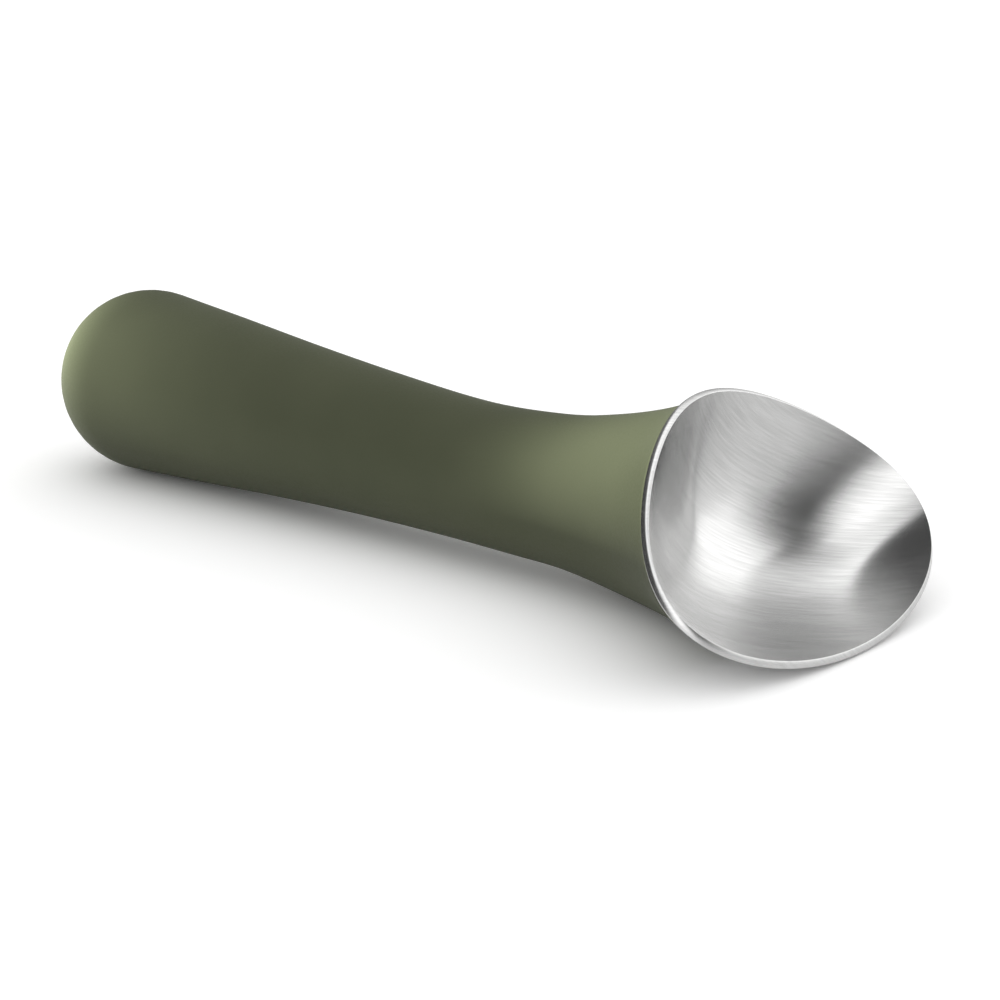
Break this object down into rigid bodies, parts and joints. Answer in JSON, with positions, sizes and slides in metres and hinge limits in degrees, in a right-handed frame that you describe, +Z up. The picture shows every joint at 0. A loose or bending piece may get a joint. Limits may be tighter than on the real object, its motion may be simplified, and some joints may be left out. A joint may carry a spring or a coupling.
{
  "type": "ice cream scoop",
  "caption": "Ice cream scoop with a thick soft-touch olive handle that flares round the back of an oblique egg-shaped brushed steel bowl.",
  "frame": {"origin": "on the table below the middle of the overall box", "axes": "+X along the handle towards the bowl, +Z up, XZ is the symmetry plane"},
  "size_m": [0.185, 0.0684, 0.0379],
  "materials": {
    "bowl_steel": "fine brushed along the handle",
    "saddle_steel": "turned",
    "tang_steel": "as drawn",
    "weld_steel": "as welded",
    "pin_steel": "ground",
    "seal": "matte",
    "core": "moulded",
    "soft_skin": "matte soft touch"
  },
  "bodies": {
    "root": {"scoop_bowl": "bowl_steel", "bowl_saddle": "saddle_steel", "handle_tang": "tang_steel", "tang_weld": "weld_steel", "tang_pins": "pin_steel", "seal_bed": "seal", "core_half_left": "core", "core_half_right": "core", "grip_skin": "soft_skin"}
  },
  "joints": []
}
